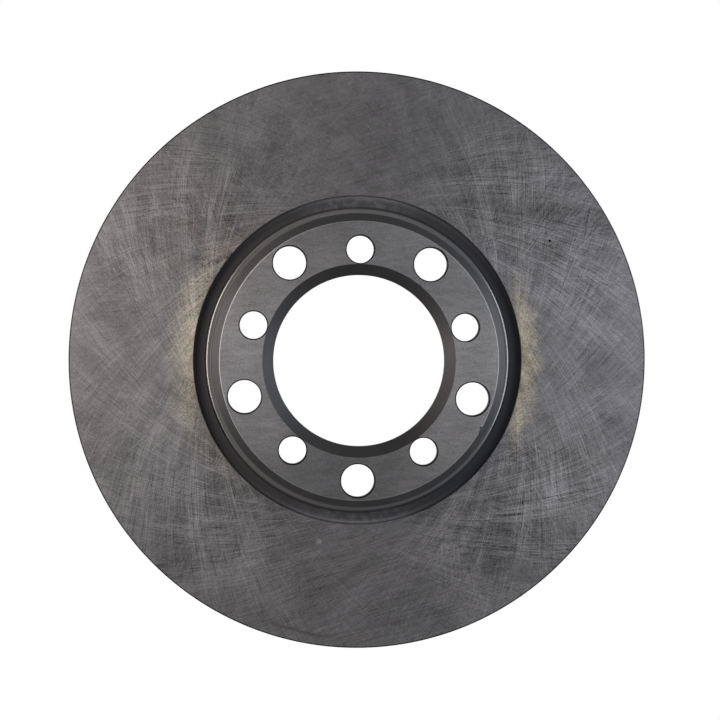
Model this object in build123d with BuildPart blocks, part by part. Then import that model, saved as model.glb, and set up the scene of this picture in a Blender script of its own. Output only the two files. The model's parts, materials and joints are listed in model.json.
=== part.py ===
from build123d import *
import os
from math import radians, tan

# Solid front brake disc with its hat, cast in one piece and machined.
# The disc's axis is Y. The hat's mounting face looks towards -Y and lies at y = 0,
# and the origin is the centre of that face. +Z is up. All sizes are in millimetres.

# --- driving dimensions: friction ring ---
disc_radius = 136.5            # 273 across
ring_thickness = 12.6          # between the two friction faces
hat_height = 24.0              # mounting face to front friction face
friction_inner_radius = 77.6   # where both friction faces start
rim_chamfer = 0.6

# --- driving dimensions: relief groove between the hat and the front friction face ---
groove_inner_radius = 72.1
groove_depth = 4.0
groove_corner = 1.2
groove_lip_round = 1.2         # on the ledge's side
groove_edge_break = 0.3        # on the friction face's side

# --- driving dimensions: hat ---
face_edge_radius = 65.2        # the mounting face ends here
hat_radius = 68.6              # outside of the hat, where its chamfer ends
hat_chamfer_depth = 4.8
wall_draft = 1.5               # degrees, the casting widens towards the ring
wall_foot_fillet = 0.6
plate_thickness = 7.5          # of the plate that carries the holes
cavity_radius = 64.0           # inside of the hat, at the plate
cavity_draft = 4.0             # degrees, opening towards the back
cavity_fillet = 2.5
cavity_mouth_round = 1.0
back_relief_depth = 1.0        # unmachined band between the cavity and the rear friction face
back_relief_slope = 0.8        # run of its sloped outer edge

# --- driving dimensions: centre bore and the two rings of holes ---
bore_radius = 40.0
bore_chamfer_radius = 45.2     # at the mounting face
bore_chamfer_depth = 3.8
hole_count = 5                 # in each ring
wheel_bolt_circle = 112.0      # the wheel bolts pass through these holes
wheel_bolt_hole = 15.5
wheel_bolt_start = -90.0       # degrees: one hole straight below the axis
hub_bolt_circle = 104.0        # the bolts between hub and disc go through these
hub_bolt_hole = 12.8
hub_bolt_start = 90.0          # degrees: one hole straight above the axis
hole_edge_break = 0.3

# --- worked out from the above ---
front_face = hat_height
rear_face = hat_height + ring_thickness
relief_face = rear_face - back_relief_depth
groove_floor = front_face + groove_depth
wall_foot_radius = hat_radius + (front_face - hat_chamfer_depth) * tan(radians(wall_draft))
cavity_mouth_radius = cavity_radius + (relief_face - plate_thickness) * tan(radians(cavity_draft))

# Half section of the disc: x is the radius, y the distance behind the mounting face.
section_points = [
    (bore_radius, plate_thickness),
    (bore_radius, bore_chamfer_depth),
    (bore_chamfer_radius, 0),
    (face_edge_radius, 0),
    (hat_radius, hat_chamfer_depth),
    (wall_foot_radius, front_face),
    (groove_inner_radius, front_face),
    (groove_inner_radius, groove_floor),
    (friction_inner_radius, groove_floor),
    (friction_inner_radius, front_face),
    (disc_radius, front_face),
    (disc_radius, rear_face),
    (friction_inner_radius, rear_face),
    (friction_inner_radius - back_relief_slope, relief_face),
    (cavity_mouth_radius, relief_face),
    (cavity_radius, plate_thickness),
]

with BuildSketch(Plane.XY) as section:
    with BuildLine():
        Polyline(*section_points, close=True)
    make_face()

    def corner(radius, depth):
        """The section's vertex at this radius and distance behind the mounting face."""
        return section.vertices().sort_by_distance((radius, depth))[0]

    fillet(corner(wall_foot_radius, front_face), radius=wall_foot_fillet)
    fillet(corner(groove_inner_radius, front_face), radius=groove_lip_round)
    fillet(corner(groove_inner_radius, groove_floor), radius=groove_corner)
    fillet(corner(friction_inner_radius, groove_floor), radius=groove_corner)
    chamfer(corner(friction_inner_radius, front_face), length=groove_edge_break)
    chamfer(corner(disc_radius, front_face), length=rim_chamfer)
    chamfer(corner(disc_radius, rear_face), length=rim_chamfer)
    fillet(corner(cavity_mouth_radius, relief_face), radius=cavity_mouth_round)
    fillet(corner(cavity_radius, plate_thickness), radius=cavity_fillet)

# One casting: ring, hat and plate in one solid, with the holes drilled from the mounting face.
with BuildPart() as brake_disc:
    add(section.sketch)
    revolve(axis=Axis.Y)
    with Locations(Plane.XZ):
        with PolarLocations(wheel_bolt_circle / 2, hole_count, start_angle=wheel_bolt_start):
            CounterSinkHole(
                radius=wheel_bolt_hole / 2,
                counter_sink_radius=wheel_bolt_hole / 2 + hole_edge_break,
                counter_sink_angle=90,
            )
        with PolarLocations(hub_bolt_circle / 2, hole_count, start_angle=hub_bolt_start):
            CounterSinkHole(
                radius=hub_bolt_hole / 2,
                counter_sink_radius=hub_bolt_hole / 2 + hole_edge_break,
                counter_sink_angle=90,
            )
    # The same small break on the hub bolt holes where they come out in the cavity.
    hub_bolt_mouths = (
        brake_disc.edges()
        .filter_by(GeomType.CIRCLE)
        .filter_by(lambda edge: abs(edge.radius - hub_bolt_hole / 2) < 0.01)
        .filter_by(lambda edge: abs(edge.arc_center.Y - plate_thickness) < 0.01)
    )
    chamfer(hub_bolt_mouths, length=hole_edge_break)

brake_disc.part.label = "brake_disc"

os.makedirs("parts", exist_ok=True)
export_step(brake_disc.part, "parts/brake_disc.step")
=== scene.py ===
import json
from math import atan2, cos, pi, radians, sin, tan

import bmesh
import bpy
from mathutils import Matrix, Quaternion, Vector


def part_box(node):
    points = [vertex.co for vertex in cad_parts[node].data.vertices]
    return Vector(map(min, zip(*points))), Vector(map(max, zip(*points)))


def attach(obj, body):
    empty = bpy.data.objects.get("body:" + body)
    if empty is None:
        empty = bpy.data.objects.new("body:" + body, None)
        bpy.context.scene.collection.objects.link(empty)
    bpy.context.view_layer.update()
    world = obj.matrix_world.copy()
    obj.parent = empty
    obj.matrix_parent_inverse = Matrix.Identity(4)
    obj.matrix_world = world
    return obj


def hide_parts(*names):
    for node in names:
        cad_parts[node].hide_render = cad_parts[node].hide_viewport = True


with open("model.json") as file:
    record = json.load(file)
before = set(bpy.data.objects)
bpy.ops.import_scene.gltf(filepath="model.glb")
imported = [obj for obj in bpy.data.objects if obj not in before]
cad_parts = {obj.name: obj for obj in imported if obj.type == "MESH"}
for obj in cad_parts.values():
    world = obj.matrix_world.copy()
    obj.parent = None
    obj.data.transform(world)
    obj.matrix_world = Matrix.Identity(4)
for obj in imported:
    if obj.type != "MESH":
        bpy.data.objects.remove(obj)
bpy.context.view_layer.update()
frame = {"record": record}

# The disc's axis is Y, the hat's face looks towards -Y at y = 0, and +Z is up. Metres.
MM = 0.001
mounts = {mount["name"]: mount for mount in frame["record"]["mounts"]}


def mount_mm(name, key):
    """A dimension of one of the record's mounts, in metres."""
    return mounts[name]["dims"][key] * MM


# --- sizes read from the frame and the record ---
disc_low, disc_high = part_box("brake_disc")
disc_radius = disc_high.x
rear_face = disc_high.y
front_face = mounts["front_friction_face"]["pos_m"][1]
bore_radius = mount_mm("centre_bore", "r_mm")
wheel_bolt_circle = mount_mm("wheel_bolt_clearance", "pcd_mm")
wheel_bolt_radius = mount_mm("wheel_bolt_clearance", "hole_r_mm")
hub_bolt_circle = mount_mm("hub_bolts", "pcd_mm")
hub_bolt_radius = mount_mm("hub_bolts", "hole_r_mm")
hole_count = mounts["hub_bolts"]["dims"]["count"]

# --- the rest of the half section, the same as the CAD part's ---
friction_inner_radius = 77.6 * MM
rim_chamfer = 0.6 * MM
groove_inner_radius = 72.1 * MM
groove_depth = 4.0 * MM
groove_corner = 1.2 * MM
groove_lip_round = 1.2 * MM
groove_edge_break = 0.3 * MM
face_edge_radius = 65.2 * MM
hat_radius = 68.6 * MM
hat_chamfer_depth = 4.8 * MM
wall_draft = radians(1.5)
wall_foot_fillet = 0.6 * MM
plate_thickness = 7.5 * MM
cavity_radius = 64.0 * MM
cavity_draft = radians(4.0)
cavity_fillet = 2.5 * MM
cavity_mouth_round = 1.0 * MM
back_relief_depth = 1.0 * MM
back_relief_slope = 0.8 * MM
bore_chamfer_radius = 45.2 * MM
bore_chamfer_depth = 3.8 * MM
hole_edge_break = 0.55 * MM
face_edge_break = 0.2 * MM

relief_face = rear_face - back_relief_depth
groove_floor = front_face + groove_depth
wall_foot_radius = hat_radius + (front_face - hat_chamfer_depth) * tan(wall_draft)
cavity_mouth_radius = cavity_radius + (relief_face - plate_thickness) * tan(cavity_draft)

# --- mesh fineness ---
turns = 720                    # steps round the axis
arc_steps = 6                  # steps along a rounded corner
support = 0.15 * MM            # extra loops beside each corner keep the flats flat
shortest_supported = 6 * support   # shorter runs get no extra loops
hole_turns = 96
smooth_angle = radians(22)     # sharper edges than this stay sharp


# ---------------------------------------------------------------- node helpers
quarter_turn = 0.25            # of a full turn, as the shader's rotation socket counts


class Shader:
    """A material's node tree, with short calls for the nodes the materials here use.
    x, y, z and radius are the place on the disc, in metres."""

    def __init__(self, name):
        self.material = bpy.data.materials.new(name)
        self.material.use_nodes = True
        self.nodes = self.material.node_tree.nodes
        self.links = self.material.node_tree.links
        self.nodes.clear()
        self.output = self.nodes.new("ShaderNodeOutputMaterial")
        self.surface = self.nodes.new("ShaderNodeBsdfPrincipled")
        self.links.new(self.surface.outputs[0], self.output.inputs["Surface"])
        coordinates = self.nodes.new("ShaderNodeTexCoord")
        self.position = coordinates.outputs["Object"]
        split = self.nodes.new("ShaderNodeSeparateXYZ")
        self.links.new(self.position, split.inputs[0])
        self.x, self.y, self.z = split.outputs
        self.radius = self.math("SQRT", self.add(self.square(self.x), self.square(self.z)))

    def feed(self, socket, value):
        """Sets a socket, or links it where the value comes from another node."""
        if isinstance(value, bpy.types.NodeSocket):
            self.links.new(value, socket)
        else:
            socket.default_value = value

    def math(self, operation, a, b=0.0, clamp=False):
        node = self.nodes.new("ShaderNodeMath")
        node.operation = operation
        node.use_clamp = clamp
        self.feed(node.inputs[0], a)
        self.feed(node.inputs[1], b)
        return node.outputs[0]

    def add(self, first, *others):
        for value in others:
            first = self.math("ADD", first, value)
        return first

    def times(self, first, *others):
        for value in others:
            first = self.math("MULTIPLY", first, value)
        return first

    def minus(self, a, b):
        return self.math("SUBTRACT", a, b)

    def over(self, a, b):
        return self.math("DIVIDE", a, b)

    def square(self, value):
        return self.times(value, value)

    def sideways(self):
        """-1 straight to the left of the axis, 1 straight to the right."""
        return self.over(self.x, self.radius)

    def upward(self):
        """-1 straight below the axis, 1 straight above."""
        return self.over(self.z, self.radius)

    def ramp(self, value, low, high, to_low=0.0, to_high=1.0):
        """Goes smoothly from to_low to to_high while the value goes from low to high."""
        node = self.nodes.new("ShaderNodeMapRange")
        node.interpolation_type = "SMOOTHSTEP"
        self.feed(node.inputs["Value"], value)
        self.feed(node.inputs["From Min"], low)
        self.feed(node.inputs["From Max"], high)
        self.feed(node.inputs["To Min"], to_low)
        self.feed(node.inputs["To Max"], to_high)
        return node.outputs[0]

    def vector(self, x, y, z=0.0):
        node = self.nodes.new("ShaderNodeCombineXYZ")
        for socket, value in zip(node.inputs, (x, y, z)):
            self.feed(socket, value)
        return node.outputs[0]

    def noise(self, vector, scale, detail=2.0, roughness=0.5, flat=False):
        node = self.nodes.new("ShaderNodeTexNoise")
        node.noise_dimensions = "2D" if flat else "3D"
        self.feed(node.inputs["Vector"], vector)
        node.inputs["Scale"].default_value = scale
        node.inputs["Detail"].default_value = detail
        node.inputs["Roughness"].default_value = roughness
        return node.outputs["Fac"]

    def centred_noise(self, vector, scale, detail=2.0, roughness=0.5, flat=False):
        """Noise as a value round 0."""
        return self.minus(self.noise(vector, scale, detail, roughness, flat), 0.5)

    def shifted(self, vector, offset):
        node = self.nodes.new("ShaderNodeVectorMath")
        node.operation = "ADD"
        self.feed(node.inputs[0], vector)
        self.feed(node.inputs[1], offset)
        return node.outputs[0]

    def along(self, vector, towards):
        """How far the vector reaches along another one."""
        node = self.nodes.new("ShaderNodeVectorMath")
        node.operation = "DOT_PRODUCT"
        self.feed(node.inputs[0], vector)
        self.feed(node.inputs[1], towards)
        return node.outputs["Value"]

    def scaled(self, vector, factor):
        """A vector or a colour times a number."""
        node = self.nodes.new("ShaderNodeVectorMath")
        node.operation = "SCALE"
        self.feed(node.inputs[0], vector)
        self.feed(node.inputs["Scale"], factor)
        return node.outputs[0]

    def mix(self, factor, a, b):
        """Colour a where the factor is 0, colour b where it is 1."""
        node = self.nodes.new("ShaderNodeMix")
        node.data_type = "RGBA"
        self.feed(node.inputs["Factor"], factor)
        colours = [socket for socket in node.inputs if socket.type == "RGBA"]
        self.feed(colours[0], a)
        self.feed(colours[1], b)
        return [socket for socket in node.outputs if socket.type == "RGBA"][0]

    def bump(self, height, distance, strength):
        node = self.nodes.new("ShaderNodeBump")
        node.inputs["Strength"].default_value = strength
        node.inputs["Distance"].default_value = distance
        self.links.new(height, node.inputs["Height"])
        self.links.new(node.outputs[0], self.surface.inputs["Normal"])

    def tangent_round_axis(self, amount):
        """Gives the surface the stretched gloss of fine lines."""
        node = self.nodes.new("ShaderNodeTangent")
        node.direction_type = "RADIAL"
        node.axis = "Y"
        self.links.new(node.outputs[0], self.surface.inputs["Tangent"])
        self.surface.inputs["Anisotropic"].default_value = amount
        self.surface.inputs["Anisotropic Rotation"].default_value = quarter_turn

    def finish(self, colour, roughness, metallic=1.0):
        self.feed(self.surface.inputs["Base Color"], colour)
        self.feed(self.surface.inputs["Roughness"], roughness)
        self.surface.inputs["Metallic"].default_value = metallic
        return self.material



# ---------------------------------------------------------------- ground friction faces
def direction(angle):
    """A unit vector in the disc's plane, degrees from +X towards +Z."""
    return (cos(radians(angle)), 0.0, sin(radians(angle)))


# Families of grinding scratches on the friction faces. The lines of a family just touch a circle
# round the axis, and curve a little as well, because the grinding wheel crosses the ring in wide
# arcs. A row holds the side they lean to, the circle's radius, the curving (radians per metre), the
# spacing and length of the lines, their strength, and the width of the strokes they come in.
scratch_families = (
    (1, 72 * MM, 2.0, 0.68 * MM, 11 * MM, 1.0, 12 * MM),
    (1, 60 * MM, 5.0, 0.85 * MM, 14 * MM, 0.8, 17 * MM),
    (-1, 74 * MM, -2.0, 0.68 * MM, 10 * MM, 1.0, 11 * MM),
    (-1, 64 * MM, -6.0, 0.90 * MM, 9 * MM, 0.9, 18 * MM),
    (1, 36 * MM, 0.0, 0.55 * MM, 15 * MM, 0.6, 14 * MM),
    (-1, 40 * MM, 0.0, 0.55 * MM, 13 * MM, 0.6, 10 * MM),
)
stroke_length = 45 * MM
ring_middle = (friction_inner_radius + disc_radius) / 2
seed_step_one = 7.3            # two seeds lie this far apart in the noise, one way
seed_step_two = 3.1            # and this far the other way
streak_roughness = 0.6

# Marks on the lower part of the front friction face: x, z, width, height and strength.
touched_places = (
    (-17.3 * MM, -86.0 * MM, 1.6 * MM, 1.6 * MM, 0.6),
    (44.5 * MM, -90.6 * MM, 6.5 * MM, 5.2 * MM, 0.27),
    (-38.0 * MM, -109.0 * MM, 15.0 * MM, 9.0 * MM, 0.09),
)

ground_grey = (0.206, 0.200, 0.207)
tarnish_brown = (0.30, 0.245, 0.20)
# Colours of the tan patches: tan tarnish with a painted highlight of the side lights.
tan_at_left = (0.465, 0.432, 0.378, 1.0)
tan_at_right = (0.51, 0.44, 0.335, 1.0)
oil_olive = (0.085, 0.085, 0.062, 1.0)
oil_line_radius = 131.0 * MM
scratch_relief = 0.05 * MM


def streaks(s, angle, across_size, along_size, seed, detail=1.5):
    """Straight noise drawn out along a direction in degrees, as a value round 0."""
    along = s.along(s.position, [c / along_size for c in direction(angle)])
    across = s.along(s.position, [c / across_size for c in direction(angle + 90)])
    place = s.vector(s.add(along, seed * seed_step_one), s.add(across, seed * seed_step_two))
    return s.centred_noise(place, 1.0, detail, streak_roughness, flat=True)


def leaning(s, side, circle, curving):
    """The direction from the axis, turned on with the radius: equal values lie on one scratch."""
    touching = s.times(s.math("ARCCOSINE", s.over(circle, s.radius)), side)
    curved = s.times(s.minus(s.radius, friction_inner_radius), curving)
    rotate = s.nodes.new("ShaderNodeVectorRotate")
    rotate.inputs["Axis"].default_value = (0, 1, 0)
    s.feed(rotate.inputs["Vector"], s.vector(s.sideways(), 0.0, s.upward()))
    s.feed(rotate.inputs["Angle"], s.add(touching, curved))
    return rotate.outputs[0]


def arcs(s, outward, across_size, along_size, seed, detail):
    """Noise drawn out along leaning arcs, as a value round 0."""
    along = s.times(s.radius, 1 / along_size)
    seeded = s.vector(seed * seed_step_one, along, seed * seed_step_two)
    place = s.shifted(s.scaled(outward, ring_middle / across_size), seeded)
    return s.centred_noise(place, 1.0, detail, streak_roughness)


def nearness(s, place, sharpness):
    """1 on the ray from the axis at this angle, falling to 0 away from it."""
    cosine = s.over(s.along(s.position, direction(place)), s.radius)
    return s.ramp(cosine, sharpness, 1.0)


def on_front(s):
    """1 on the front friction face and 0 on the rear one."""
    return s.ramp(s.y, front_face + 2 * MM, front_face + 4 * MM, 1.0, 0.0)


def tan_tarnish_and_painted_highlight(s):
    """Where the friction face is warm and bright, beside the groove at left and right: partly tan
    tarnish, partly a painted highlight of the side lights.
    """
    ragged = s.centred_noise(s.position, 110, 4.0, 0.65)
    wander = s.times(ragged, 9 * MM)
    to_left = [-c for c in direction(-6)]
    left = s.ramp(s.add(s.along(s.position, to_left), wander), 69 * MM, 79 * MM)
    right = s.ramp(s.add(s.along(s.position, direction(-1)), wander), 70 * MM, 79 * MM)
    reach = s.ramp(s.sideways(), -0.2, 0.2, 15.5 * MM, 12.0 * MM)
    depth = s.over(s.minus(s.radius, friction_inner_radius), reach)
    near_groove = s.ramp(s.add(depth, s.times(ragged, 0.9)), 0.0, 1.0, 1.0, 0.0)
    faint = s.times(nearness(s, 180, 0.4), 0.25)
    strongest = s.math("MAXIMUM", s.math("MAXIMUM", left, right), faint)
    return s.math("MULTIPLY", near_groove, s.times(strongest, on_front(s)), clamp=True)


def oil_arc(s):
    """A thin olive line left by a drop of oil near the rim at the bottom."""
    wander = s.times(s.centred_noise(s.position, 60), 5 * MM)
    off_line = s.math("ABSOLUTE", s.minus(s.add(s.radius, wander), oil_line_radius))
    line = s.ramp(off_line, 0.2 * MM, 1.3 * MM, 1.0, 0.0)
    return s.times(line, nearness(s, -101, 0.988), on_front(s))


def brown_tint(s):
    """A faint brown tarnish on the upper left of the front friction face."""
    patches = s.ramp(s.noise(s.shifted(s.position, (0.9, 0, 0)), 75, 3.0, 0.6), 0.48, 0.66)
    inner_part = s.ramp(s.radius, 84 * MM, 118 * MM, 1.0, 0.0)
    return s.times(patches, nearness(s, 146, 0.9), inner_part, on_front(s))


def touch_marks(s):
    """A small light spot and two paler patches of wipe marks on the lower part of the front face."""
    ragged = s.times(s.centred_noise(s.position, 260, 3.0, 0.6), 3 * MM)
    marks = 0.0
    for x, z, width, height, strength in touched_places:
        across = s.over(s.minus(s.add(s.x, ragged), x), width)
        upright = s.over(s.minus(s.add(s.z, ragged), z), height)
        off_centre = s.add(s.square(across), s.square(upright))
        marks = s.add(marks, s.ramp(off_centre, 0.3, 1.2, strength, 0.0))
    return s.times(marks, on_front(s))


def scratches_shown(s, upper):
    """How strongly the crossed lines show, as a painted glint: most on the slants, where the side
    lights catch them, less at the top, and less near the rim.
    """
    sides = s.square(s.sideways())
    slants = s.times(sides, s.minus(1.0, sides), 4.0)
    glint_strength = s.add(0.45, s.times(sides, 0.2), s.times(slants, 0.6))
    near_rim = s.ramp(s.radius, 108 * MM, 134 * MM, 1.0, 0.75)
    return s.times(glint_strength, near_rim, s.minus(1.0, s.times(upper, 0.35)))


def crossed_scratches(s, glint_strength):
    """The crossed lines as a height round 0, and the painted sheen of the strokes they come in."""
    height = 0.0
    painted_sheen = 0.0
    for seed, family in enumerate(scratch_families, 1):
        side, circle, curving, spacing, length, strength, width = family
        outward = leaning(s, side, circle, curving)
        lines = arcs(s, outward, spacing, length, seed, 2.3)
        stroke = s.ramp(arcs(s, outward, width, stroke_length, seed + 20, 2.5), -0.12, 0.14)
        height = s.add(height, s.times(lines, s.add(stroke, 0.15), strength))
        painted_sheen = s.add(painted_sheen, s.times(s.minus(stroke, 0.5), strength))
    return s.times(height, glint_strength), s.times(painted_sheen, glint_strength)


def level_scratches(s, upper):
    """Nearly level lines, and the painted sheen of their strokes, at the bottom of the face and more
    weakly at the top.
    """
    where = s.add(nearness(s, -92, 0.5), s.times(upper, 0.5))
    lines = streaks(s, 17, 0.75 * MM, 17 * MM, 51, 2.3)
    strokes = streaks(s, 16, 5 * MM, 50 * MM, 53, 2.5)
    return s.times(lines, where, 0.55), s.times(strokes, where, 1.6)


def painted_highlight_fans(s):
    """Painted highlight: broad paler and darker fans of the side lights, strongest at left and
    right.
    """
    leaning_on = arcs(s, leaning(s, 1, 45 * MM, 0.0), 12 * MM, 70 * MM, 31, 3.0)
    leaning_back = arcs(s, leaning(s, -1, 55 * MM, 0.0), 13 * MM, 70 * MM, 33, 3.0)
    strength = s.ramp(s.square(s.sideways()), 0.02, 0.6, 0.35, 1.0)
    return s.times(s.add(leaning_on, leaning_back), strength)


def uneven_tone(s, upper):
    """Soft clouds and blotches, with a finer mottling at the top."""
    cloud = s.centred_noise(s.position, 26, 3.0, 0.55)
    blotch = s.centred_noise(s.shifted(s.position, (0.7, 0, 0)), 90, 3.0, 0.6)
    mottle = s.centred_noise(s.shifted(s.position, (0.3, 0, 0)), 560, 4.0, 0.7)
    blotch = s.add(s.times(blotch, s.add(1.0, upper)), s.times(mottle, upper, 2.4))
    return s.add(s.times(cloud, 0.45), s.times(blotch, 0.3))


def ground_colour(s, tone, grain):
    """Grey iron with the brown tarnish, the tan patches of tarnish and painted highlight, and the
    oil line on it.
    """
    plain = s.scaled(ground_grey, tone)
    tan_colour = s.mix(s.ramp(s.x, -50 * MM, 50 * MM), tan_at_left, tan_at_right)
    warm = s.scaled(tan_colour, s.add(tone, s.times(grain, 0.6)))
    colour = s.mix(s.times(brown_tint(s), 0.4), plain, s.scaled(tarnish_brown, tone))
    colour = s.mix(tan_tarnish_and_painted_highlight(s), colour, warm)
    return s.mix(s.times(oil_arc(s), 0.45), colour, oil_olive)


def ground_face():
    s = Shader("ground_iron_face")
    upper = nearness(s, 95, 0.74)
    glint_strength = scratches_shown(s, upper)
    height, painted_sheen = crossed_scratches(s, glint_strength)
    level_height, level_painted_sheen = level_scratches(s, upper)
    height = s.add(height, level_height)
    painted_sheen = s.add(painted_sheen, level_painted_sheen)
    grain = s.centred_noise(s.position, 1900, 1.0)
    # Painted light: the friction face is lighter on its left side, towards the rim.
    painted_light_at_left = s.ramp(s.sideways(), -1.0, 0.1, 0.13, 0.0)
    outer_part = s.ramp(s.radius, 85 * MM, 103 * MM)
    tone = s.add(
        1.05,
        s.times(painted_light_at_left, outer_part),
        s.times(height, 1.9),
        s.times(painted_sheen, 0.17),
        s.times(painted_highlight_fans(s), 0.6),
        uneven_tone(s, upper),
        s.times(grain, s.add(glint_strength, 0.4), 0.9),
        touch_marks(s),
    )
    colour = ground_colour(s, tone, grain)
    s.bump(height, scratch_relief, 1.0)
    s.tangent_round_axis(0.3)
    roughness = s.math("SUBTRACT", 0.5, s.times(height, 0.2), clamp=True)
    return s.finish(colour, roughness)


# ---------------------------------------------------------------- turned and cast surfaces
fine_relief = 0.04 * MM        # of turned rings and specks
wall_relief = 0.08 * MM
cast_relief = 0.4 * MM


def turned(
    name, colour, roughness, anisotropic,
    line=0.25 * MM, grain=0.24, wear=0.2, shade=None, metallic=1.0,
):
    """A lathe-turned iron surface: fine rings round the axis, specks and soft uneven tone."""
    s = Shader(name)
    ring_place = s.vector(s.over(s.radius, line), s.over(s.y, line))
    rings = s.centred_noise(ring_place, 1.0, 2.0, 0.7, flat=True)
    specks = s.centred_noise(s.position, 1500, 2.0, 0.6)
    cloud = s.centred_noise(s.position, 45, 3.0)
    factor = s.add(1.0, s.times(rings, 0.25), s.times(specks, grain), s.times(cloud, wear))
    if shade:
        factor = s.times(factor, shade(s))
    s.bump(s.add(rings, specks), fine_relief, 0.8)
    s.tangent_round_axis(anisotropic)
    return s.finish(s.scaled(colour, factor), s.add(roughness, s.times(cloud, 0.1)), metallic)


def groove():
    def rubbed_and_painted_light(s):
        """Paler towards the groove's outer edge, as painted light against the groove's shadow, and
        paler at the top and the bottom, partly rubbing and partly painted light.
        """
        rubbed = s.ramp(s.noise(s.position, 320, 4.0, 0.65), 0.4, 0.62)
        upright = s.ramp(s.square(s.upward()), 0.8, 1.0)
        # Paler at the top and the bottom: partly rubbing, partly painted light.
        patches = s.times(s.add(rubbed, 0.3), upright)
        to_edge = s.minus(friction_inner_radius, s.radius)
        # Painted light towards the outer edge, where the groove's shadow falls.
        outer = s.ramp(to_edge, 0.6 * MM, 2.4 * MM, 1.3, 0.0)
        edge = s.ramp(to_edge, 0.2 * MM, 1.3 * MM, 2.6, 0.0)
        return s.add(1.0, patches, outer, s.times(edge, upright))

    dark = (0.048, 0.047, 0.052)
    return turned("groove_iron", dark, 0.75, 0.0, grain=0.5, shade=rubbed_and_painted_light, metallic=0.2)


def ledge():
    def painted_shade_in_corner(s):
        """Painted shade: a little darker in the corner at the foot of the hat's wall."""
        off_corner = s.math("ABSOLUTE", s.minus(s.radius, wall_foot_radius))
        return s.ramp(off_corner, 0.1 * MM, 0.8 * MM, 0.9, 1.0)

    return turned("ledge_iron", (0.185, 0.183, 0.190), 0.56, 0.0, shade=painted_shade_in_corner)


def hat_wall():
    """Rings along the hat's outside, with lumps and clouds."""
    s = Shader("hat_wall_iron")
    ring_place = s.vector(s.over(s.y, 0.35 * MM), 0.0)
    rings = s.noise(ring_place, 1.0, 2.0, 0.7, flat=True)
    lumps = s.noise(s.position, 900, 3.0, 0.6)
    cloud = s.noise(s.position, 50, 3.0)
    factor = s.add(0.35, s.times(rings, 0.4), s.times(lumps, 0.5), s.times(cloud, 0.5))
    s.bump(s.add(rings, lumps), wall_relief, 0.7)
    return s.finish(s.scaled((0.24, 0.237, 0.242), factor), 0.6, 0.6)


def hat_face():
    def wipes_and_painted_shading(s):
        """Faint wipe marks across the hat, fine mottling, painted shade at the bottom and painted
        light at the top.
        """
        level_wipes = streaks(s, 4, 1.3 * MM, 13 * MM, 3)
        falling_wipes = streaks(s, -24, 2.0 * MM, 12 * MM, 5)
        smudge = streaks(s, 8, 3.0 * MM, 15 * MM, 9, 3.0)
        mottle = s.centred_noise(s.position, 620, 3.0, 0.65)
        marks = s.add(
            1.0,
            s.times(s.add(level_wipes, falling_wipes), 0.22),
            s.times(smudge, 0.45),
            s.times(mottle, 0.5),
        )
        painted_shade_below = s.ramp(s.upward(), -1.0, -0.65, 0.84, 1.0)
        painted_light_above = s.ramp(s.upward(), 0.3, 1.0, 1.0, 1.1)
        return s.times(marks, painted_shade_below, painted_light_above)

    face_grey = (0.252, 0.246, 0.254)
    return turned("turned_hat_face", face_grey, 0.47, 0.32, grain=1.0, wear=0.5, shade=wipes_and_painted_shading)


def hat_edge():
    # Much lighter than the hat's face: a painted highlight along the hat's edge.
    return turned("hat_edge_iron", (0.46, 0.45, 0.46), 0.5, 0.0)


def hat_chamfer():
    return turned("turned_hat_chamfer", (0.175, 0.173, 0.181), 0.5, 0.6)


def bore_chamfer():
    def painted_shade_lower_right(s):
        """Painted shade on the lower right."""
        return s.minus(1.0, s.times(nearness(s, -38, 0.65), 0.45))

    return turned("turned_bore_chamfer", (0.118, 0.116, 0.120), 0.5, 0.2, shade=painted_shade_lower_right)


def edge_break():
    # Near black: painted shade on the edge breaks round the holes and in the pits.
    return turned("hole_edge_break", (0.022, 0.022, 0.024), 0.6, 0.0)


def rim_edge():
    return turned("rim_edge_iron", (0.055, 0.055, 0.058), 0.6, 0.0)


def drilled():
    return turned("drilled_iron", (0.12, 0.12, 0.125), 0.5, 0.0)


def turned_rim():
    return turned("turned_rim", (0.22, 0.217, 0.225), 0.45, 0.2, line=0.4 * MM)


def lip():
    """The groove's rounded inner edge, glossier at left and right and lighter there as a painted
    highlight.
    """
    s = Shader("bright_lip")
    sides = s.square(s.sideways())
    specks = s.centred_noise(s.position, 1500, 2.0, 0.6)
    painted_highlight_and_specks = s.add(s.ramp(sides, 0.62, 0.86, 0.75, 1.0), s.times(specks, 0.3))
    s.bump(specks, fine_relief, 0.8)
    return s.finish(s.scaled((0.22, 0.217, 0.213), painted_highlight_and_specks), s.ramp(sides, 0.55, 0.86, 0.6, 0.22))


def cast_skin():
    """The unmachined inside of the hat: rough and dull, with a little rust."""
    s = Shader("cast_iron_skin")
    lumps = s.noise(s.position, 700, 4.0, 0.65)
    cloud = s.noise(s.position, 60, 3.0)
    rust = s.ramp(s.noise(s.shifted(s.position, (0.4, 0, 0)), 90, 4.0, 0.6), 0.54, 0.7)
    factor = s.add(0.1, s.times(lumps, 1.1), s.times(cloud, 0.7))
    plain = s.scaled((0.12, 0.12, 0.12), factor)
    colour = s.mix(s.times(rust, 0.4), plain, (0.15, 0.09, 0.06, 1.0))
    s.bump(lumps, cast_relief, 0.9)
    return s.finish(colour, 0.65, 0.6)


# The regions of the disc's surface and the function that makes each one's material.
regions = {
    "ground": ground_face,
    "groove": groove,
    "ledge": ledge,
    "hat": hat_face,
    "hat_chamfer": hat_chamfer,
    "bore_chamfer": bore_chamfer,
    "edge": edge_break,
    "drilled": drilled,
    "cast": cast_skin,
    "rim": turned_rim,
    "lip": lip,
    "wall": hat_wall,
    "rim_edge": rim_edge,
    "hat_edge": hat_edge,
}
region_index = {name: index for index, name in enumerate(regions)}


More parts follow.
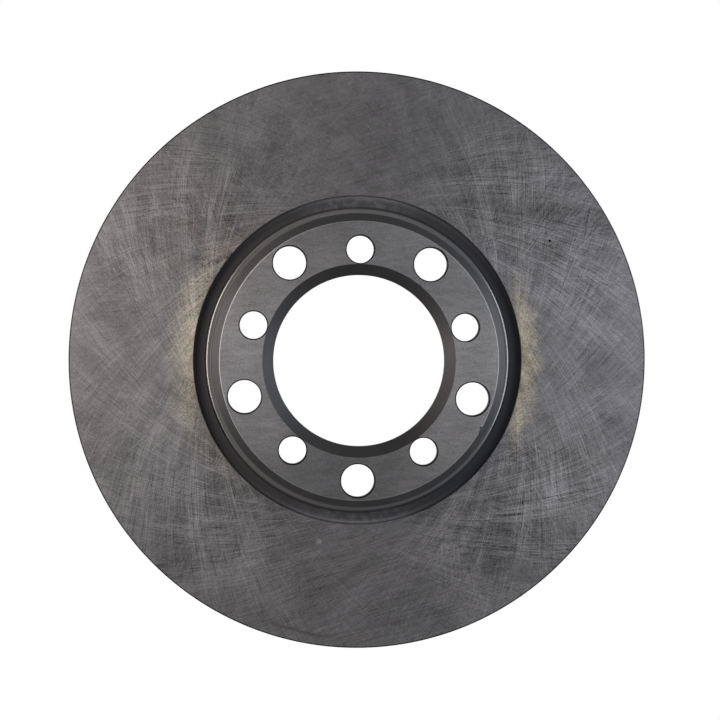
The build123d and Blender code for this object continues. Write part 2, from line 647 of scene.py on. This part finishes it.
# ---------------------------------------------------------------- geometry
class Corner:
    """A corner of the half section. blend rounds it (or chamfers it where flat is set).
    own is the region of the blend's faces and run the region of the straight run after it."""

    def __init__(self, radius, depth, run, blend=0.0, own=None, flat=False):
        self.point = Vector((radius, depth))
        self.run = run
        self.blend = blend
        self.own = own or run
        self.flat = flat


def blend_points(before, corner, after):
    """The points that stand for a corner, first to last."""
    if not corner.blend:
        return [corner.point]
    to_before = (before.point - corner.point).normalized()
    to_after = (after.point - corner.point).normalized()
    if corner.flat:
        return [corner.point + to_before * corner.blend, corner.point + to_after * corner.blend]
    half = to_before.angle(to_after) / 2
    reach = corner.blend / tan(half)
    centre = corner.point + (to_before + to_after).normalized() * (corner.blend / sin(half))
    first = corner.point + to_before * reach - centre
    last = corner.point + to_after * reach - centre
    start = atan2(first.y, first.x)
    sweep = (atan2(last.y, last.x) - start + pi) % (2 * pi) - pi
    angles = [start + sweep * step / arc_steps for step in range(arc_steps + 1)]
    return [centre + Vector((cos(a), sin(a))) * corner.blend for a in angles]


def outline(corners):
    """The closed half section as points, and the region of the run after each point."""
    points, runs = [], []
    count = len(corners)
    for index, corner in enumerate(corners):
        made = blend_points(corners[index - 1], corner, corners[(index + 1) % count])
        points += made
        runs += [corner.own] * (len(made) - 1) + [corner.run]
    full_points, full_runs = [], []
    for index, point in enumerate(points):
        full_points.append(point)
        full_runs.append(runs[index])
        along = points[(index + 1) % len(points)] - point
        if along.length > shortest_supported:
            step = along.normalized() * support
            full_points += [point + step, point + along - step]
            full_runs += [runs[index]] * 2
    return full_points, full_runs


disc_corners = [
    Corner(bore_radius, plate_thickness, "drilled", hole_edge_break, "drilled", True),
    Corner(bore_radius, bore_chamfer_depth, "bore_chamfer"),
    Corner(bore_chamfer_radius, 0, "hat"),
    Corner(face_edge_radius, 0, "hat_chamfer", face_edge_break, "hat_edge", True),
    Corner(hat_radius, hat_chamfer_depth, "wall"),
    Corner(wall_foot_radius, front_face, "ledge", wall_foot_fillet),
    Corner(groove_inner_radius, front_face, "groove", groove_lip_round, "lip"),
    Corner(groove_inner_radius, groove_floor, "groove", groove_corner),
    Corner(friction_inner_radius, groove_floor, "groove", groove_corner),
    Corner(friction_inner_radius, front_face, "ground", groove_edge_break, "ground", True),
    Corner(disc_radius, front_face, "rim", rim_chamfer, "rim_edge", True),
    Corner(disc_radius, rear_face, "ground", rim_chamfer, "rim_edge", True),
    Corner(friction_inner_radius, rear_face, "cast"),
    Corner(friction_inner_radius - back_relief_slope, relief_face, "cast"),
    Corner(cavity_mouth_radius, relief_face, "cast", cavity_mouth_round),
    Corner(cavity_radius, plate_thickness, "cast", cavity_fillet),
]


def lathe(points, runs):
    """Vertices, faces and face regions of an outline turned round the disc's axis."""
    vertices, faces, indices = [], [], []
    count = len(points)
    for step in range(turns):
        angle = 2 * pi * step / turns
        for point in points:
            vertices.append((point.x * cos(angle), point.y, point.x * sin(angle)))
    for step in range(turns):
        near = step * count
        far = (step + 1) % turns * count
        for index in range(count):
            following = (index + 1) % count
            faces.append((near + index, near + following, far + following, far + index))
            indices.append(region_index[runs[index]])
    return vertices, faces, indices


def mesh_object(name, parts, materials):
    """One object from parts, each made of vertices, faces and face regions."""
    vertices, faces, indices = [], [], []
    for part in parts:
        base = len(vertices)
        vertices += part[0]
        faces += [tuple(base + v for v in face) for face in part[1]]
        indices += part[2]
    mesh = bpy.data.meshes.new(name)
    mesh.from_pydata(vertices, [], faces)
    for material in materials:
        mesh.materials.append(material)
    mesh.polygons.foreach_set("material_index", indices)
    mesh.validate()
    made = bpy.data.objects.new(name, mesh)
    bpy.context.scene.collection.objects.link(made)
    return made


def hole_cutter(x, z, radius):
    """A round cutter through the plate, flared at the hat's face for the edge break."""
    over = 1.0 * MM
    profile = (
        Vector((radius + hole_edge_break + over, -over)),
        Vector((radius, hole_edge_break)),
        Vector((radius, plate_thickness + cavity_fillet + over)),
    )
    rows = len(profile)
    vertices, faces, indices = [], [], []
    for step in range(hole_turns):
        angle = 2 * pi * step / hole_turns
        for point in profile:
            vertices.append((x + point.x * cos(angle), point.y, z + point.x * sin(angle)))
    for step in range(hole_turns):
        near = step * rows
        far = (step + 1) % hole_turns * rows
        for index, region in enumerate(("edge", "drilled")):
            faces.append((near + index, near + index + 1, far + index + 1, far + index))
            indices.append(region_index[region])
    faces.append(tuple(step * rows for step in range(hole_turns)))
    faces.append(tuple(step * rows + rows - 1 for step in reversed(range(hole_turns))))
    return vertices, faces, indices + [region_index["drilled"]] * 2


# Pits in the friction face and nicks in the hat's edge: x, z, face, radius, depth and region.
pits = (
    (90.5 * MM, 57.5 * MM, front_face, 0.65 * MM, 1.1 * MM, "edge"),
    (91.1 * MM, 55.4 * MM, front_face, 0.3 * MM, 0.3 * MM, "edge"),
    (57.5 * MM, -31.0 * MM, 0.0, 0.9 * MM, 0.8 * MM, "hat_chamfer"),
    (56.5 * MM, -32.4 * MM, 0.0, 0.5 * MM, 0.4 * MM, "hat_chamfer"),
)
pit_sides = 9
pit_unevenness = 0.25
pit_wobble = 2.3               # radians from one side to the next
# The rings of a pit's cutter: their depth and width as shares of the pit's depth and radius.
pit_rings = ((-0.3, 1.15), (0.35, 0.85), (1.0, 0.3))


def pit_cutter(x, z, face, radius, depth, region):
    """A small uneven pit sunk in a face that looks towards -Y."""
    vertices, faces = [], []
    for share, width in pit_rings:
        for side in range(pit_sides):
            angle = 2 * pi * side / pit_sides
            reach = radius * width * (1 + pit_unevenness * sin(pit_wobble * side))
            vertices.append((x + reach * cos(angle), face + depth * share, z + reach * sin(angle)))
    last_ring = len(pit_rings) - 1
    for ring in range(last_ring):
        for side in range(pit_sides):
            a = ring * pit_sides + side
            b = ring * pit_sides + (side + 1) % pit_sides
            faces.append((a, b, b + pit_sides, a + pit_sides))
    faces.append(tuple(range(pit_sides)))
    faces.append(tuple(last_ring * pit_sides + side for side in reversed(range(pit_sides))))
    return vertices, faces, [region_index[region]] * len(faces)


def ring_places(circle, start):
    """The centres of one ring of holes, the first of them at the start angle."""
    angles = [start + 2 * pi * k / hole_count for k in range(hole_count)]
    return [(circle / 2 * cos(angle), circle / 2 * sin(angle)) for angle in angles]


def cutters():
    """Everything that is cut out of the turned casting: two rings of holes, pits and nicks."""
    made = [hole_cutter(x, z, wheel_bolt_radius) for x, z in ring_places(wheel_bolt_circle, -pi / 2)]
    made += [hole_cutter(x, z, hub_bolt_radius) for x, z in ring_places(hub_bolt_circle, pi / 2)]
    made += [pit_cutter(*pit) for pit in pits]
    return made


def recalculate_normals(mesh):
    """Makes every face look outwards."""
    work = bmesh.new()
    work.from_mesh(mesh)
    bmesh.ops.recalc_face_normals(work, faces=work.faces)
    work.to_mesh(mesh)
    work.free()


def brake_disc():
    materials = [make() for make in regions.values()]
    disc = mesh_object("disc_casting", [lathe(*outline(disc_corners))], materials)
    cutter = mesh_object("hole_cutters", cutters(), materials)
    for made in (disc, cutter):
        recalculate_normals(made.data)
    cut = disc.modifiers.new("holes", "BOOLEAN")
    cut.operation = "DIFFERENCE"
    cut.solver = "EXACT"
    cut.object = cutter
    bpy.context.view_layer.update()
    evaluated = disc.evaluated_get(bpy.context.evaluated_depsgraph_get())
    mesh = bpy.data.meshes.new_from_object(evaluated)
    disc.modifiers.clear()
    disc.data = mesh
    bpy.data.objects.remove(cutter)
    mesh.polygons.foreach_set("use_smooth", [True] * len(mesh.polygons))
    mesh.set_sharp_from_angle(angle=smooth_angle)
    return disc


disc = brake_disc()
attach(disc, "root")
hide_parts("brake_disc")


# ---------------------------------------------------------------- camera
# The photo was taken almost straight along the axis, from slightly to the left and above.
view_distance = 1.6
view_left = radians(1.943)
view_up = radians(0.872)
frame_width = 340.8 * MM       # seen across the frame at the front friction face
sensor = 36.0                  # millimetres
aim = Vector((1.19 * MM, front_face, 0.03 * MM))
roll = radians(0.65)
nearest_seen = 0.05
farthest_seen = 30.0


def camera():
    data = bpy.data.cameras.new("camera")
    made = bpy.data.objects.new("camera", data)
    bpy.context.scene.collection.objects.link(made)
    back = Vector((-sin(view_left) * cos(view_up), -cos(view_left) * cos(view_up), sin(view_up)))
    made.location = aim + back * view_distance
    made.rotation_mode = "QUATERNION"
    made.rotation_quaternion = (-back).to_track_quat("-Z", "Y") @ Quaternion((0, 0, 1), roll)
    data.sensor_width = sensor
    data.lens = sensor * view_distance / frame_width
    data.clip_start = nearest_seen
    data.clip_end = farthest_seen
    bpy.context.scene.camera = made


# ---------------------------------------------------------------- light
light_distance = 0.95
fill_strength = 0.15           # of the even light from all sides
white = (1, 1, 1, 1)

# Area lights: name, azimuth and elevation in degrees (azimuth 0 is in front of the hat and 90 at
# +X), width, height, power in watts and colour.
softboxes = (
    ("key_left", -40, 9, 0.5, 0.75, 5.2, (1.0, 0.93, 0.85)),
    ("key_right", 40, 4, 0.5, 0.75, 3.6, (0.86, 0.92, 1.0)),
    ("side_left", -94, 6, 0.35, 0.75, 1.0, (1.0, 0.96, 0.92)),
    ("side_right", 94, 6, 0.35, 0.75, 1.2, (0.92, 0.96, 1.0)),
    ("back_left", -128, 4, 0.5, 0.75, 2.9, (1.0, 0.95, 0.89)),
    ("back_right", 128, 4, 0.5, 0.75, 2.6, (0.92, 0.95, 1.0)),
)


def softbox(name, azimuth, elevation, width, height, power, colour):
    """An area light on a sphere round the disc, aimed at its middle."""
    data = bpy.data.lights.new(name, "AREA")
    data.shape = "RECTANGLE"
    data.size = width
    data.size_y = height
    data.energy = power
    data.color = colour
    made = bpy.data.objects.new(name, data)
    bpy.context.scene.collection.objects.link(made)
    a = radians(azimuth)
    e = radians(elevation)
    made.location = Vector((sin(a) * cos(e), -cos(a) * cos(e), sin(e))) * light_distance
    made.rotation_mode = "QUATERNION"
    made.rotation_quaternion = (-made.location).to_track_quat("-Z", "Y")
    made.visible_camera = False


def surroundings():
    """White for the camera, a dim even grey for the light."""
    world = bpy.data.worlds.new("studio")
    bpy.context.scene.world = world
    world.use_nodes = True
    nodes = world.node_tree.nodes
    links = world.node_tree.links
    nodes.clear()
    output = nodes.new("ShaderNodeOutputWorld")
    seen = nodes.new("ShaderNodeBackground")
    lit = nodes.new("ShaderNodeBackground")
    choose = nodes.new("ShaderNodeMixShader")
    path = nodes.new("ShaderNodeLightPath")
    seen.inputs["Color"].default_value = white
    lit.inputs["Color"].default_value = white
    lit.inputs["Strength"].default_value = fill_strength
    links.new(path.outputs["Is Camera Ray"], choose.inputs[0])
    links.new(lit.outputs[0], choose.inputs[1])
    links.new(seen.outputs[0], choose.inputs[2])
    links.new(choose.outputs[0], output.inputs[0])


# ---------------------------------------------------------------- floor
floor_reach = 8.0
floor_height = disc_low.z - 0.5 * MM


def floor():
    """A white floor just under the disc, which neither lights nor shades it."""
    mesh = bpy.data.meshes.new("studio_floor")
    sides = ((-1, -1), (1, -1), (1, 1), (-1, 1))
    corners = [(floor_reach * x, floor_reach * y, floor_height) for x, y in sides]
    mesh.from_pydata(corners, [], [(0, 1, 2, 3)])
    studio_white = bpy.data.materials.new("studio_white")
    studio_white.use_nodes = True
    nodes = studio_white.node_tree.nodes
    nodes.clear()
    output = nodes.new("ShaderNodeOutputMaterial")
    glow = nodes.new("ShaderNodeEmission")
    studio_white.node_tree.links.new(glow.outputs[0], output.inputs[0])
    mesh.materials.append(studio_white)
    made = bpy.data.objects.new("studio_floor", mesh)
    bpy.context.scene.collection.objects.link(made)
    made.visible_diffuse = False
    made.visible_glossy = False
    made.visible_shadow = False


camera()
surroundings()
floor()
for box in softboxes:
    softbox(*box)
bpy.context.scene.view_settings.view_transform = "Standard"
